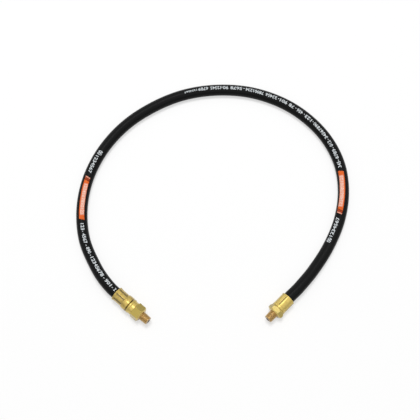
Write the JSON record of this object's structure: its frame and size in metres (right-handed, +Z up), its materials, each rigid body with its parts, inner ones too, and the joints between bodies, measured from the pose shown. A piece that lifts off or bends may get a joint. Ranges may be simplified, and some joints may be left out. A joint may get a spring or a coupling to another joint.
{
  "type": "hydraulic hose assembly",
  "caption": "Wire-braided rubber hydraulic hose in an open loop, with a crimped brass male swivel end and a crimped brass rigid male end.",
  "frame": {"origin": "on the surface that the hose lies on, midway between the two brass ends", "axes": "+Z up, +X from the swivel end to the rigid end, +Y towards the far side of the hose's loop"},
  "size_m": [0.3118, 0.2905, 0.0198],
  "materials": {
    "cover_rubber": "satin black rubber with a fine wrapped texture and a printed line of plain marks",
    "braid_wire": "braided steel wire",
    "tube_rubber": "smooth black rubber",
    "seal_rubber": "smooth black nitrile rubber",
    "ferrule_brass": "satin turned brass with crimp marks",
    "fitting_brass": "machined brass",
    "spring_steel": "dark spring steel"
  },
  "bodies": {
    "hose_and_stems": {"hose_cover": "cover_rubber", "hose_braid": "braid_wire", "hose_inner_tube": "tube_rubber", "swivel_end_ferrule": "ferrule_brass", "swivel_end_stem": "fitting_brass", "swivel_o_ring": "seal_rubber", "rigid_end_ferrule": "ferrule_brass", "rigid_end_insert": "fitting_brass"},
    "swivel": {"swivel_body": "fitting_brass", "swivel_retaining_ring": "spring_steel"}
  },
  "joints": [
    {"name": "swivel_spin", "type": "hinge", "parent": "hose_and_stems", "child": "swivel", "pos_m": [-0.09524, 0.01428, 0.01], "axis": [0.7536, -0.6574, 0], "continuous": true}
  ]
}
